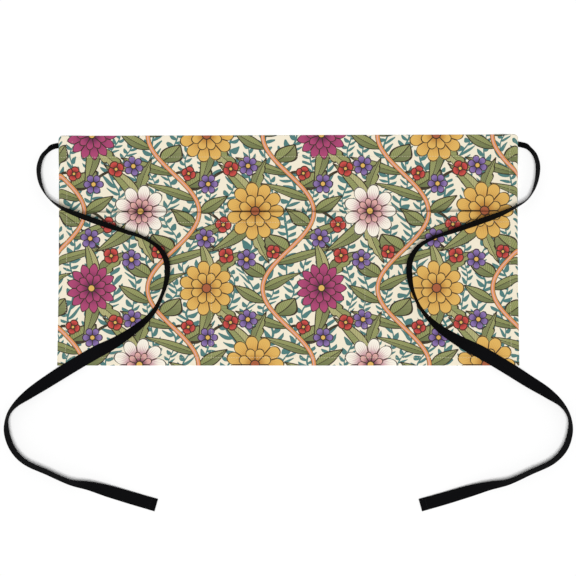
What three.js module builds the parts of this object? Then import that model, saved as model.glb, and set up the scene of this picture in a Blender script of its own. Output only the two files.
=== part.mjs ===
// Half waist apron, laid flat and face up, with its two ribbon ties spread over and beside it.
// Millimetres, +Z up, +Y towards the waist edge. The origin lies under the middle of the panel.
import * as THREE from "three";

// Driving sizes of the sewn cloth
const PANEL = { width: 610, height: 305, flare: 2, sidePull: 1.2, waistFall: 2, cornerRadius: 5.5 };
const CLOTH = 1;
const GAP = 0.3;
const HEM = { width: 12, waistWidth: 30, mouthWidth: 15, rise: 0.8, ramp: 1.5 };
const POCKET = { count: 3, depth: 203, inset: 1.5, gape: 14 };
const TIE = { width: 17, thickness: 1, thickestGather: 2, endHem: 10, endHemRise: 0.6 };
const TUCK = { middle: 139.5, length: 24, halfWidth: 9, fade: 16, clearance: 0.45 };
const GRID = { spansPerPocket: 12, rowsBelowMouth: 5, rowsAboveMouth: 2, tieSteps: 76, tieSpans: 4 };

const SIDE = PANEL.width / 2;
const TOP = PANEL.height / 2;
const BOTTOM = -TOP;
const MOUTH = BOTTOM + POCKET.depth;
const POCKET_WIDTH = PANEL.width / POCKET.count;

// Soft lifts of the free hem off the table: middle, half length and height, then how far in they fade.
const HEM_LIFTS = [
  { x: -185, halfLength: 80, height: 1.6 },
  { x: 45, halfLength: 100, height: 2.2 },
  { x: 222, halfLength: 65, height: 1.4 },
];
const HEM_LIFT_REACH = 70;

// The two ties, from the end that is tucked under the waist hem to the free end.
// x, y: middle of the ribbon. base: height of what its lower edge lies on.
// lean: degrees from lying flat to standing on edge. gather: share of its width that shows.
const TIE_ROUTES = {
  tie_left: [
    { x: -280, y: 141, base: 0, lean: 0, gather: 0.42 },
    { x: -308.5, y: 136.8, base: 0, lean: 0, gather: 0.42 },
    { x: -317.5, y: 131.5, base: 0, lean: 52, gather: 0.5 },
    { x: -325, y: 122, base: 0, lean: 68, gather: 0.95 },
    { x: -329.1, y: 106.5, base: 0, lean: 69, gather: 1 },
    { x: -326.5, y: 87.5, base: 0, lean: 75, gather: 1 },
    { x: -317, y: 69.5, base: 1.5, lean: 87, gather: 1 },
    { x: -300, y: 56.2, base: 4.8, lean: 78, gather: 1 },
    { x: -277, y: 46.2, base: 9, lean: 69, gather: 1 },
    { x: -247.5, y: 35.4, base: 13.9, lean: 67, gather: 1 },
    { x: -218, y: 25.4, base: 15.9, lean: 73, gather: 1 },
    { x: -191.5, y: 16.2, base: 16, lean: 78, gather: 1 },
    { x: -171.2, y: 3.4, base: 14.2, lean: 73, gather: 1 },
    { x: -160.6, y: -14.2, base: 12.7, lean: 65, gather: 1 },
    { x: -159.6, y: -35, base: 11.6, lean: 67, gather: 1 },
    { x: -165.4, y: -57.4, base: 10.8, lean: 75, gather: 1 },
    { x: -177, y: -80.8, base: 9.6, lean: 70, gather: 1 },
    { x: -197.4, y: -101, base: 8.7, lean: 57, gather: 1 },
    { x: -226.6, y: -121, base: 6.8, lean: 38, gather: 1 },
    { x: -256, y: -136.4, base: 4.5, lean: 8, gather: 1 },
    { x: -290, y: -156.4, base: 3.7, lean: 6, gather: 1 },
    { x: -317.8, y: -173.8, base: 0.6, lean: 20, gather: 1 },
    { x: -341.6, y: -189.6, base: 0, lean: 41, gather: 1 },
    { x: -360.2, y: -204.4, base: 0, lean: 67, gather: 1 },
    { x: -370.2, y: -220, base: 0, lean: 75, gather: 1 },
    { x: -371.2, y: -240.8, base: 0, lean: 63, gather: 1 },
    { x: -363, y: -263.2, base: 0, lean: 62, gather: 1 },
    { x: -346.6, y: -280.2, base: 0, lean: 65, gather: 1 },
    { x: -318, y: -293.4, base: 0, lean: 66, gather: 1 },
    { x: -288, y: -306.4, base: 0, lean: 64, gather: 1 },
    { x: -262, y: -311.5, base: 0, lean: 46, gather: 1 },
    { x: -235, y: -319, base: 0, lean: 22, gather: 1 },
    { x: -203, y: -328.5, base: 0, lean: 10, gather: 1 },
    { x: -174.2, y: -336.8, base: 0, lean: 3, gather: 1 },
  ],
  tie_right: [
    { x: 280, y: 142.5, base: 0, lean: 180, gather: 0.42 },
    { x: 308.5, y: 138.6, base: 0, lean: 180, gather: 0.42 },
    { x: 318, y: 133.2, base: 0, lean: 128, gather: 0.5 },
    { x: 326.2, y: 122.8, base: 0, lean: 112, gather: 0.95 },
    { x: 329.2, y: 107, base: 0, lean: 111, gather: 1 },
    { x: 325.8, y: 86, base: 0, lean: 104, gather: 1 },
    { x: 316, y: 67.4, base: 1.5, lean: 93, gather: 1 },
    { x: 299, y: 56.4, base: 5.1, lean: 100, gather: 1 },
    { x: 275.5, y: 45.6, base: 9.2, lean: 111, gather: 1 },
    { x: 247, y: 35.4, base: 14, lean: 114, gather: 1 },
    { x: 218, y: 25, base: 15.9, lean: 108, gather: 1 },
    { x: 191.8, y: 16, base: 16, lean: 101, gather: 1 },
    { x: 171.8, y: 4.4, base: 14.3, lean: 108, gather: 1 },
    { x: 160.6, y: -13.6, base: 12.7, lean: 115, gather: 1 },
    { x: 159.6, y: -35, base: 11.6, lean: 116, gather: 1 },
    { x: 164.6, y: -56.4, base: 10.8, lean: 104, gather: 1 },
    { x: 175.8, y: -79.2, base: 9.6, lean: 104, gather: 1 },
    { x: 196.8, y: -101.6, base: 8.6, lean: 121, gather: 1 },
    { x: 226, y: -120.7, base: 7, lean: 145, gather: 1 },
    { x: 256, y: -136.1, base: 4.8, lean: 173, gather: 1 },
    { x: 289, y: -155.7, base: 4, lean: 174, gather: 1 },
    { x: 317.2, y: -173.4, base: 0.6, lean: 161, gather: 1 },
    { x: 341.4, y: -188.4, base: 0, lean: 142, gather: 1 },
    { x: 360.6, y: -203.8, base: 0, lean: 114, gather: 1 },
    { x: 370.6, y: -221, base: 0, lean: 106, gather: 1 },
    { x: 371.5, y: -241, base: 0, lean: 116, gather: 1 },
    { x: 364, y: -262.8, base: 0, lean: 119, gather: 1 },
    { x: 347.5, y: -279.8, base: 0, lean: 115, gather: 1 },
    { x: 319, y: -293.3, base: 0, lean: 114, gather: 1 },
    { x: 291, y: -305.8, base: 0, lean: 117, gather: 1 },
    { x: 264, y: -311.5, base: 0, lean: 133, gather: 1 },
    { x: 236, y: -319, base: 0, lean: 156, gather: 1 },
    { x: 204, y: -328.5, base: 0, lean: 168, gather: 1 },
    { x: 174.2, y: -336.8, base: 0, lean: 177, gather: 1 },
  ],
};

const clamp01 = (t) => THREE.MathUtils.clamp(t, 0, 1);
const smooth = (t) => THREE.MathUtils.smoothstep(t, 0, 1);

const upShareAt = (y) => clamp01((y - BOTTOM) / PANEL.height);

// Half the panel's width at a height: the sides flare a little towards the bottom hem, and the hems
// draw them in between their ends.
function halfWidthAt(y) {
  const up = upShareAt(y);
  return SIDE - PANEL.flare * up - PANEL.sidePull * Math.sin(Math.PI * up);
}

// How far the waist edge lies below the top at an x: it falls a little to the viewer's left and drops
// round the two upper corners.
function waistDropAt(x) {
  const r = PANEL.cornerRadius;
  const intoCorner = Math.max(0, Math.abs(x) - (SIDE - r));
  const fall = (PANEL.waistFall * (SIDE - x)) / PANEL.width;
  return fall + r - Math.sqrt(Math.max(0, r * r - intoCorner * intoCorner));
}

// 1 within a hem's width of an edge, falling to 0 over the ramp beyond it.
function hemShare(distance, width) {
  return clamp01((width + HEM.ramp - distance) / HEM.ramp);
}

// The layers turned under along the sides, the bottom and the waist raise the face by this much.
function hemRiseAt(x, y) {
  const side = hemShare(SIDE - Math.abs(x), HEM.width);
  const bottom = hemShare(y - BOTTOM, HEM.width);
  const waist = hemShare(TOP - y, HEM.waistWidth);
  return HEM.rise * Math.max(side, bottom, waist);
}

// The cloth rises over each tie's tucked end, and flat stretches of the bottom hem lift a little.
function liftAt(x, y) {
  let lift = 0;
  for (const { x: middle, halfLength, height } of HEM_LIFTS) {
    const along = smooth(1 - Math.abs(x - middle) / halfLength);
    lift += height * along * smooth(1 - (y - BOTTOM) / HEM_LIFT_REACH);
  }
  const inwards = Math.max(0, SIDE - Math.abs(x) - TUCK.length);
  const across = Math.max(0, Math.abs(y - TUCK.middle) - TUCK.halfWidth);
  const tucked = smooth(1 - inwards / TUCK.fade) * smooth(1 - across / TUCK.fade);
  return lift + (TIE.thickestGather + TUCK.clearance) * tucked;
}

// How far a pocket stands open: an arch between its two seams, fading from the mouth to the bottom.
function gapeAt(x, y) {
  const across = ((x + SIDE) / POCKET_WIDTH) % 1;
  const up = clamp01((y - BOTTOM - POCKET.inset) / (POCKET.depth - POCKET.inset));
  return POCKET.gape * Math.sin(Math.PI * across) * Math.sin((Math.PI / 2) * up);
}

const panelFaceAt = (x, y) => liftAt(x, y) + CLOTH + hemRiseAt(x, y);
const pocketBackAt = (x, y) => panelFaceAt(x, y) + GAP + gapeAt(x, y);
const mouthHemAt = (y) => HEM.rise * hemShare(MOUTH - y, HEM.mouthWidth);

// Grid lines in order, each kept once.
function gridLines(...lists) {
  return [...new Set(lists.flat())].sort((a, b) => a - b);
}

const mirrored = (list) => [...list.map((x) => -x), ...list];

// That many lines, spaced evenly between two others.
function between(low, high, count) {
  return Array.from({ length: count }, (_, i) => low + ((i + 1) * (high - low)) / (count + 1));
}

// Lines along the width: the pockets' arches, the side hems, the tucks and the rounded corners.
const COLUMNS = gridLines(
  between(-SIDE, SIDE, POCKET.count * GRID.spansPerPocket - 1),
  mirrored([
    SIDE,
    SIDE - POCKET.inset,
    SIDE - PANEL.cornerRadius,
    SIDE - HEM.width,
    SIDE - HEM.width - HEM.ramp,
    SIDE - TUCK.length,
    SIDE - TUCK.length - TUCK.fade,
  ]),
);

// Lines up the pocket panel: its two hems and the single cloth between them.
const ABOVE_HEM = BOTTOM + HEM.width + HEM.ramp;
const BELOW_MOUTH_HEM = MOUTH - HEM.mouthWidth - HEM.ramp;
const POCKET_ROWS = gridLines(
  [BOTTOM + POCKET.inset, BOTTOM + HEM.width, ABOVE_HEM],
  between(ABOVE_HEM, BELOW_MOUTH_HEM, GRID.rowsBelowMouth),
  [BELOW_MOUTH_HEM, MOUTH - HEM.mouthWidth, MOUTH],
);

// Lines up the panel, which go on above the pocket mouth to the tucks and the waist hem.
const TUCK_FOOT = TUCK.middle - TUCK.halfWidth - TUCK.fade;
const PANEL_ROWS = gridLines(
  [BOTTOM, ...POCKET_ROWS],
  between(MOUTH, TUCK_FOOT, GRID.rowsAboveMouth),
  [TUCK_FOOT, TUCK.middle - TUCK.halfWidth, TUCK.middle + TUCK.halfWidth],
  [TOP - HEM.waistWidth - HEM.ramp, TOP - HEM.waistWidth, TOP],
);

// A closed wall between an under side and an upper side that are given on one grid of points.
function wallGeometry(columnCount, rowCount, underSide, upperSide) {
  const positions = [];
  for (const side of [underSide, upperSide]) {
    for (let i = 0; i < columnCount; i++) {
      for (let j = 0; j < rowCount; j++) positions.push(...side(i, j));
    }
  }
  const under = (i, j) => i * rowCount + j;
  const upper = (i, j) => columnCount * rowCount + i * rowCount + j;
  const triangles = [];
  const quad = (a, b, c, d) => triangles.push(a, b, c, a, c, d);
  for (let i = 0; i < columnCount - 1; i++) {
    for (let j = 0; j < rowCount - 1; j++) {
      quad(upper(i, j), upper(i + 1, j), upper(i + 1, j + 1), upper(i, j + 1));
      quad(under(i, j), under(i, j + 1), under(i + 1, j + 1), under(i + 1, j));
    }
  }
  const lastColumn = columnCount - 1;
  const lastRow = rowCount - 1;
  for (let i = 0; i < lastColumn; i++) {
    quad(under(i, 0), under(i + 1, 0), upper(i + 1, 0), upper(i, 0));
    quad(under(i + 1, lastRow), under(i, lastRow), upper(i, lastRow), upper(i + 1, lastRow));
  }
  for (let j = 0; j < lastRow; j++) {
    quad(under(0, j + 1), under(0, j), upper(0, j), upper(0, j + 1));
    quad(under(lastColumn, j), under(lastColumn, j + 1), upper(lastColumn, j + 1), upper(lastColumn, j));
  }
  const geometry = new THREE.BufferGeometry();
  geometry.setAttribute("position", new THREE.Float32BufferAttribute(positions, 3));
  geometry.setIndex(triangles);
  geometry.computeVertexNormals();
  return geometry;
}

// A sewn sheet on the panel's grid, between two heights, drawn in to the panel's true outline.
function sheetGeometry(columns, rows, underAt, upperAt) {
  const side = (heightAt) => (i, j) => {
    const [x, y] = [columns[i], rows[j]];
    const drawnX = (x * halfWidthAt(y)) / SIDE;
    const drawnY = y - upShareAt(y) * waistDropAt(x);
    return [drawnX, drawnY, heightAt(x, y)];
  };
  return wallGeometry(columns.length, rows.length, side(underAt), side(upperAt));
}

function panelGeometry() {
  return sheetGeometry(COLUMNS, PANEL_ROWS, liftAt, panelFaceAt);
}

function pocketGeometry() {
  const columns = COLUMNS.filter((x) => Math.abs(x) <= SIDE - POCKET.inset);
  const frontAt = (x, y) => pocketBackAt(x, y) + CLOTH + mouthHemAt(y);
  return sheetGeometry(columns, POCKET_ROWS, pocketBackAt, frontAt);
}

// A ribbon swept along its route. Each section is a flat bar across the route, leant up on its lower
// edge, narrower and thicker where it is gathered, and thicker over the hem at its free end.
function tieGeometry(route) {
  const middle = new THREE.CatmullRomCurve3(
    route.map(({ x, y, base }) => new THREE.Vector3(x, y, base)),
    false,
    "catmullrom",
  );
  const setting = new THREE.CatmullRomCurve3(
    route.map(({ lean, gather }) => new THREE.Vector3(lean, gather, 0)),
    false,
    "catmullrom",
  );
  const length = middle.getLength();
  const up = new THREE.Vector3(0, 0, 1);
  const sections = Array.from({ length: GRID.tieSteps + 1 }, (_, i) => {
    const share = i / GRID.tieSteps;
    const t = middle.getUtoTmapping(share);
    const heading = middle.getTangent(t).setZ(0).normalize();
    const toLeft = new THREE.Vector3().crossVectors(up, heading);
    const [lean, gather] = setting.getPoint(t).toArray();
    const angle = THREE.MathUtils.degToRad(THREE.MathUtils.clamp(lean, 0, 180));
    const across = toLeft.multiplyScalar(Math.cos(angle)).addScaledVector(up, Math.sin(angle));
    const face = new THREE.Vector3().crossVectors(heading, across);
    const shown = Math.min(1, gather);
    const hemmed = (1 - share) * length < TIE.endHem ? TIE.endHemRise : 0;
    const thickness = Math.min(TIE.thickness / shown, TIE.thickestGather) + hemmed;
    const halfWidth = (TIE.width / 2) * shown;
    const rise = halfWidth * Math.sin(angle) + (thickness / 2) * Math.abs(Math.cos(angle));
    const centre = middle.getPoint(t);
    centre.z = Math.max(0, centre.z) + rise;
    return { centre, across, face, halfWidth, thickness };
  });
  const side = (sign) => (i, j) => {
    const { centre, across, face, halfWidth, thickness } = sections[i];
    const reach = halfWidth * ((2 * j) / GRID.tieSpans - 1);
    const point = centre.clone().addScaledVector(across, reach);
    return point.addScaledVector(face, (sign * thickness) / 2).toArray();
  };
  return wallGeometry(sections.length, GRID.tieSpans + 1, side(-1), side(1));
}

const PRINTED_CLOTH = { color: 0xdcd3b4, roughness: 0.85, metalness: 0 };
const BLACK_RIBBON = { color: 0x121214, roughness: 0.7, metalness: 0 };

function piece(name, geometry, finish) {
  const mesh = new THREE.Mesh(geometry, new THREE.MeshStandardMaterial(finish));
  mesh.name = name;
  return mesh;
}

const apron = new THREE.Group();
apron.add(piece("body_panel", panelGeometry(), PRINTED_CLOTH));
apron.add(piece("pocket_panel", pocketGeometry(), PRINTED_CLOTH));
for (const [name, route] of Object.entries(TIE_ROUTES)) {
  apron.add(piece(name, tieGeometry(route), BLACK_RIBBON));
}

export default apron;
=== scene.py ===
# %% [markdown]
# # A half waist apron in floral print
# The real apron is a flat rectangle of printed cloth, with a second cloth sewn over its lower two thirds
# as three pockets, and two black ribbon ties that wander over the pockets and away across the table.
# It could be draped by a cloth simulation. Here each piece is a surface instead: a formula of two
# numbers, worked out for a whole grid of points at once, so that every size stays in view.
# Lengths are in metres, +X runs along the waist edge, +Y points to the waist and +Z is up.

import math

import bpy
import numpy as np
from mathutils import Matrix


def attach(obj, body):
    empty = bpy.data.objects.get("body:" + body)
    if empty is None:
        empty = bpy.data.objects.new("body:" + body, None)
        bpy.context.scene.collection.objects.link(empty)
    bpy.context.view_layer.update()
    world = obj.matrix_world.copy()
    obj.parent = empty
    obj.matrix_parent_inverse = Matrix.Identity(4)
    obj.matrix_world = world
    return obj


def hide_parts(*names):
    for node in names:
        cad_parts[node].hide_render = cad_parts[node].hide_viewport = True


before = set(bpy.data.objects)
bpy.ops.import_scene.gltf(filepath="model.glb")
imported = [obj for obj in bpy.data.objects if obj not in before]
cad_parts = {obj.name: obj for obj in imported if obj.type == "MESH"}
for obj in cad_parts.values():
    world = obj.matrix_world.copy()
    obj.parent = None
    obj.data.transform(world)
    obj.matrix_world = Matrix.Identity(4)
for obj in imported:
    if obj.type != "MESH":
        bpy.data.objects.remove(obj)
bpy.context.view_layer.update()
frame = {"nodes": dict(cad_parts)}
print("solids:", ", ".join(frame["nodes"]))

# %% [markdown]
# ## The sizes that everything follows
# The panel is twice as wide as it is high. The pockets share one cloth, which two rows of stitches
# divide into three. Places could be typed in one by one, but worked out from these few sizes they
# move together when a size changes.

# %% Sizes
WIDTH, HEIGHT = 0.610, 0.305
SIDE, TOP, BOTTOM = WIDTH / 2, HEIGHT / 2, -HEIGHT / 2
POCKETS, POCKET_DEPTH = 3, 0.203
MOUTH = BOTTOM + POCKET_DEPTH
POCKET_WIDTH = WIDTH / POCKETS
print(f"panel {WIDTH * 1000:.0f} x {HEIGHT * 1000:.0f} mm, pocket mouths at y = {MOUTH * 1000:.1f} mm")

# %% [markdown]
# ## The camera
# The apron is seen from straight above. An orthographic camera would show no depth at all. A very long
# lens is nearly as true: it keeps the outline square and the raised ribbons in place over the cloth.
# Its height is chosen so that the picture is 0.76 m wide at the table.

# %% Camera
VIEW_WIDTH, VIEW_MIDDLE = 0.7603, (-0.0004, -0.0502)
LENS, SENSOR = 0.300, 0.036
camera_data = bpy.data.cameras.new("overhead camera")
camera_data.lens = LENS * 1000
camera_data.sensor_width = SENSOR * 1000
camera = bpy.data.objects.new("overhead camera", camera_data)
camera.location = (*VIEW_MIDDLE, VIEW_WIDTH * LENS / SENSOR)
bpy.context.scene.collection.objects.link(camera)
bpy.context.scene.camera = camera
print(f"camera {camera.location.z:.3f} m above the table")

# %% [markdown]
# ## Building a surface
# Cloth and ribbon are thin solids with two sides. A Solidify modifier could thicken a single sheet, but
# hems and rounded edges need a thickness of their own at every point. So `wall` takes an under side and
# an upper side on one grid and closes the space between them. Its flat map, in millimetres, says where
# each point lay before the cloth was bent, and the patterns read that map.

# %% Walls
SHARP_DEGREES = 50


def wall(name, under, upper, flat, turned=False):
    """Faces over and under one grid of points, joined round the rim; flat is each point's place in mm,
    and turned marks the grid squares whose under side shows the face side of the cloth."""
    rows, columns = under.shape[:2]
    low, high = np.arange(2 * rows * columns).reshape(2, rows, columns)

    def quads(a, b, c, d):
        """Faces with four corners, from one array for each corner."""
        return np.stack([a, b, c, d], axis=-1).reshape(-1, 4)

    face = quads(high[:-1, :-1], high[1:, :-1], high[1:, 1:], high[:-1, 1:])
    back = quads(low[:-1, :-1], low[:-1, 1:], low[1:, 1:], low[1:, :-1])
    rim = np.vstack([
        quads(low[:-1, 0], low[1:, 0], high[1:, 0], high[:-1, 0]),
        quads(low[1:, -1], low[:-1, -1], high[:-1, -1], high[1:, -1]),
        quads(low[0, 1:], low[0, :-1], high[0, :-1], high[0, 1:]),
        quads(low[-1, :-1], low[-1, 1:], high[-1, 1:], high[-1, :-1]),
    ])
    faces = np.vstack([face, rim, back])
    points = np.concatenate([under.reshape(-1, 3), upper.reshape(-1, 3)])
    mesh = bpy.data.meshes.new(name)
    mesh.from_pydata(points.tolist(), [], faces.tolist())
    places = np.tile(flat.reshape(-1, 2), (2, 1))[faces.ravel()]
    mesh.uv_layers.new(name="flat_mm").data.foreach_set("uv", places.ravel().astype(np.float32))
    plain = np.broadcast_to(~np.asarray(turned), (rows - 1, columns - 1)).ravel()
    slots = np.concatenate([np.zeros(len(face) + len(rim), dtype=np.int32), plain.astype(np.int32)])
    mesh.polygons.foreach_set("material_index", slots)
    mesh.polygons.foreach_set("use_smooth", np.ones(len(faces), dtype=bool))
    mesh.set_sharp_from_angle(angle=math.radians(SHARP_DEGREES))
    piece = bpy.data.objects.new(name, mesh)
    bpy.context.scene.collection.objects.link(piece)
    print(f"{name}: {2 * len(faces)} triangles")
    return piece

# %% [markdown]
# ## The ribbon ties
# Each tie starts gathered under the waist hem, loops out and back over the pocket mouth, curls on the
# pocket and runs off over the lower corner. A bevelled curve would turn the ribbon by a rule of its own.
# Here a flat bar is carried along a listed route, and every place on the route says how the bar
# leans. A ribbon can't bend in its own plane, so where it bends sideways it has to stand up on its edge.
# The lean goes from 0 (flat) to 90 degrees (on edge) and on to 180 (flat, the other edge outermost).

# %% Tie routes
# x, y, height of what it lies on, lean in degrees, share of the width that shows
TIE_ROUTES = {
    "tie_left": np.array([
        (-0.2800, 0.1410, 0.0000, 0, 0.42),
        (-0.3085, 0.1368, 0.0000, 0, 0.42),
        (-0.3175, 0.1315, 0.0000, 52, 0.50),
        (-0.3250, 0.1220, 0.0000, 68, 0.95),
        (-0.3291, 0.1065, 0.0000, 69, 1),
        (-0.3265, 0.0875, 0.0000, 75, 1),
        (-0.3170, 0.0695, 0.0015, 87, 1),
        (-0.3000, 0.0562, 0.0048, 78, 1),
        (-0.2770, 0.0462, 0.0090, 69, 1),
        (-0.2475, 0.0354, 0.0139, 67, 1),
        (-0.2180, 0.0254, 0.0159, 73, 1),
        (-0.1915, 0.0162, 0.0160, 78, 1),
        (-0.1712, 0.0034, 0.0142, 73, 1),
        (-0.1606, -0.0142, 0.0127, 65, 1),
        (-0.1596, -0.0350, 0.0116, 67, 1),
        (-0.1654, -0.0574, 0.0108, 75, 1),
        (-0.1770, -0.0808, 0.0096, 70, 1),
        (-0.1974, -0.1010, 0.0087, 57, 1),
        (-0.2266, -0.1210, 0.0068, 38, 1),
        (-0.2560, -0.1364, 0.0045, 8, 1),
        (-0.2900, -0.1564, 0.0037, 6, 1),
        (-0.3178, -0.1738, 0.0006, 20, 1),
        (-0.3416, -0.1896, 0.0000, 41, 1),
        (-0.3602, -0.2044, 0.0000, 67, 1),
        (-0.3702, -0.2200, 0.0000, 75, 1),
        (-0.3712, -0.2408, 0.0000, 63, 1),
        (-0.3630, -0.2632, 0.0000, 62, 1),
        (-0.3466, -0.2802, 0.0000, 65, 1),
        (-0.3180, -0.2934, 0.0000, 66, 1),
        (-0.2880, -0.3064, 0.0000, 64, 1),
        (-0.2620, -0.3115, 0.0000, 46, 1),
        (-0.2350, -0.3190, 0.0000, 22, 1),
        (-0.2030, -0.3285, 0.0000, 10, 1),
        (-0.1742, -0.3368, 0.0000, 3, 1),
    ]),
    "tie_right": np.array([
        (0.2800, 0.1425, 0.0000, 180, 0.42),
        (0.3085, 0.1386, 0.0000, 180, 0.42),
        (0.3180, 0.1332, 0.0000, 128, 0.50),
        (0.3262, 0.1228, 0.0000, 112, 0.95),
        (0.3292, 0.1070, 0.0000, 111, 1),
        (0.3258, 0.0860, 0.0000, 104, 1),
        (0.3160, 0.0674, 0.0015, 93, 1),
        (0.2990, 0.0564, 0.0051, 100, 1),
        (0.2755, 0.0456, 0.0092, 111, 1),
        (0.2470, 0.0354, 0.0140, 114, 1),
        (0.2180, 0.0250, 0.0159, 108, 1),
        (0.1918, 0.0160, 0.0160, 101, 1),
        (0.1718, 0.0044, 0.0143, 108, 1),
        (0.1606, -0.0136, 0.0127, 115, 1),
        (0.1596, -0.0350, 0.0116, 116, 1),
        (0.1646, -0.0564, 0.0108, 104, 1),
        (0.1758, -0.0792, 0.0096, 104, 1),
        (0.1968, -0.1016, 0.0086, 121, 1),
        (0.2260, -0.1207, 0.0070, 145, 1),
        (0.2560, -0.1361, 0.0048, 173, 1),
        (0.2890, -0.1557, 0.0040, 174, 1),
        (0.3172, -0.1734, 0.0006, 161, 1),
        (0.3414, -0.1884, 0.0000, 142, 1),
        (0.3606, -0.2038, 0.0000, 114, 1),
        (0.3706, -0.2210, 0.0000, 106, 1),
        (0.3715, -0.2410, 0.0000, 116, 1),
        (0.3640, -0.2628, 0.0000, 119, 1),
        (0.3475, -0.2798, 0.0000, 115, 1),
        (0.3190, -0.2933, 0.0000, 114, 1),
        (0.2910, -0.3058, 0.0000, 117, 1),
        (0.2640, -0.3115, 0.0000, 133, 1),
        (0.2360, -0.3190, 0.0000, 156, 1),
        (0.2040, -0.3285, 0.0000, 168, 1),
        (0.1742, -0.3368, 0.0000, 177, 1),
    ]),
}

# %% A smooth route
SPLINE_SAMPLES = 6000


def even_spline(rows, count):
    """A smooth curve through the rows (each span leaves along the line between its neighbours),
    read off at count places spaced evenly along its length; also the length."""
    ends = np.vstack([2 * rows[0] - rows[1], rows, 2 * rows[-1] - rows[-2]])
    t = np.linspace(0, len(rows) - 1, SPLINE_SAMPLES)
    k = np.minimum(t.astype(int), len(rows) - 2)
    f = (t - k)[:, None]
    a, b, c, d = ends[k], ends[k + 1], ends[k + 2], ends[k + 3]
    curve = b + 0.5 * f * (c - a + f * (2 * a - 5 * b + 4 * c - d + f * (3 * (b - c) + d - a)))
    steps = np.linalg.norm(np.diff(curve[:, :3], axis=0), axis=1)
    run = np.concatenate([[0], np.cumsum(steps)])
    even = np.linspace(0, run[-1], count)
    return np.column_stack([np.interp(even, run, column) for column in curve.T]), run[-1]


for name, rows in TIE_ROUTES.items():
    print(f"{name}: {even_spline(rows, len(rows))[1] * 1000:.0f} mm of ribbon")

# %% Ribbons
TIE_WIDTH, TIE_THICK = 0.017, 0.0009
TIE_END_HEM, TIE_END_RISE, TIE_END_ROW = 0.010, 0.6, 0.008
TIE_STEPS, TIE_ACROSS = 420, 13
PLEAT_HEIGHT, PLEAT_WAVES = 0.0006, 3
UP = np.array([0.0, 0.0, 1.0])


def tie(name, rows):
    """A flat bar swept along the route and leant up on its lower edge: across the bar, a point is the
    middle plus its share of the half width along the leaning direction; pleats fill the gathered end.
    Also gives its middle line, its length and the two ends of the seam across its free end."""
    curve, length = even_spline(rows, TIE_STEPS)
    heading = np.gradient(curve[:, :2], axis=0)
    heading /= np.linalg.norm(heading, axis=1, keepdims=True)
    left = np.column_stack([-heading[:, 1], heading[:, 0], np.zeros(TIE_STEPS)])
    lean = np.radians(np.clip(curve[:, 3], 0, 180))[:, None]
    shown = np.minimum(curve[:, 4], 1)[:, None]
    across = np.cos(lean) * left + np.sin(lean) * UP
    face = np.cross(np.column_stack([heading, np.zeros(TIE_STEPS)]), across)
    along = np.linspace(0, length, TIE_STEPS)[:, None]
    thick = TIE_THICK * (1 + TIE_END_RISE * (length - along < TIE_END_HEM))
    half = TIE_WIDTH / 2 * shown
    pleat = PLEAT_HEIGHT * (1 - shown) / (1 - shown.min())
    rise = half * np.sin(lean) + (thick / 2 + pleat) * np.abs(np.cos(lean))
    middle = np.column_stack([curve[:, :2], np.maximum(curve[:, 2], 0)]) + rise * UP
    v = np.linspace(-1, 1, TIE_ACROSS)
    centre = middle[:, None] + (half * v)[..., None] * across[:, None]
    wave = pleat * np.cos(PLEAT_WAVES * math.pi * v)
    upper = centre + (wave + thick / 2)[..., None] * face[:, None]
    under = centre + (wave - thick / 2)[..., None] * face[:, None]
    flat = np.stack(np.broadcast_arrays(along * 1000, TIE_WIDTH / 2 * v * 1000), axis=-1)
    face_up = np.where(upper[..., 2:] > under[..., 2:], upper, under)
    seam = face_up[round((1 - TIE_END_ROW / length) * (TIE_STEPS - 1)), [1, -2]]
    return wall(f"ribbon_{name}", under, upper, flat), middle, length, seam


ties = {name: tie(name, rows) for name, rows in TIE_ROUTES.items()}

# %% [markdown]
# ## The hems
# A hem is a strip of cloth turned under twice, so it stands a little higher than the single cloth. It
# could be a real fold in the mesh, but nothing shows of its inside. So it is a step in the height: full
# within the hem's width, easing down over a short ramp beside it.

# %% Hems
HEM_WIDTH, WAIST_HEM, MOUTH_HEM = 0.012, 0.030, 0.015
HEM_RISE, HEM_RAMP, HEM_STEP = 0.0008, 0.0015, 0.0004


def smooth(t):
    """0 below 0, 1 above 1, and an S-shaped rise between: three squares less two cubes."""
    t = np.clip(t, 0, 1)
    return t * t * (3 - 2 * t)


def hem_share(distance, width):
    """1 within a hem's width of an edge, easing to 0 over the ramp beyond it."""
    return smooth((width + HEM_RAMP - distance) / HEM_RAMP)


def hemmed(x, y):
    """1 on the hems of the panel: the sides, the bottom and the broad one at the waist."""
    sides = hem_share(SIDE - np.abs(x), HEM_WIDTH)
    ends = np.maximum(hem_share(y - BOTTOM, HEM_WIDTH), hem_share(TOP - y, WAIST_HEM))
    return np.maximum(sides, ends)


print(f"hems {HEM_WIDTH * 1000:.0f} mm wide, {WAIST_HEM * 1000:.0f} mm at the waist")

# %% [markdown]
# ## The height of the cloth
# Cloth never lies quite flat. The free bottom hem lifts in places, the waist swells over each tucked
# tie, every pocket stands open between its seams, and stitches draw up small puckers beside them. Such
# shapes could be sculpted by eye. Here each is a simple bump or wave of a real size, and the height of
# a cloth is their sum.

# %% Lifts and tucks
# middle, half length and height of each lift of the bottom hem
HEM_LIFTS = np.array([(-0.185, 0.080, 0.0016), (0.045, 0.100, 0.0022), (0.222, 0.065, 0.0014)])
HEM_LIFT_REACH = 0.070
# the swelling over a tucked tie: its middle line, length, half width, fade beyond these, and height
TUCK_MIDDLE, TUCK_LENGTH, TUCK_HALF, TUCK_FADE, TUCK_RISE = 0.1395, 0.024, 0.009, 0.016, 0.00245


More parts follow.
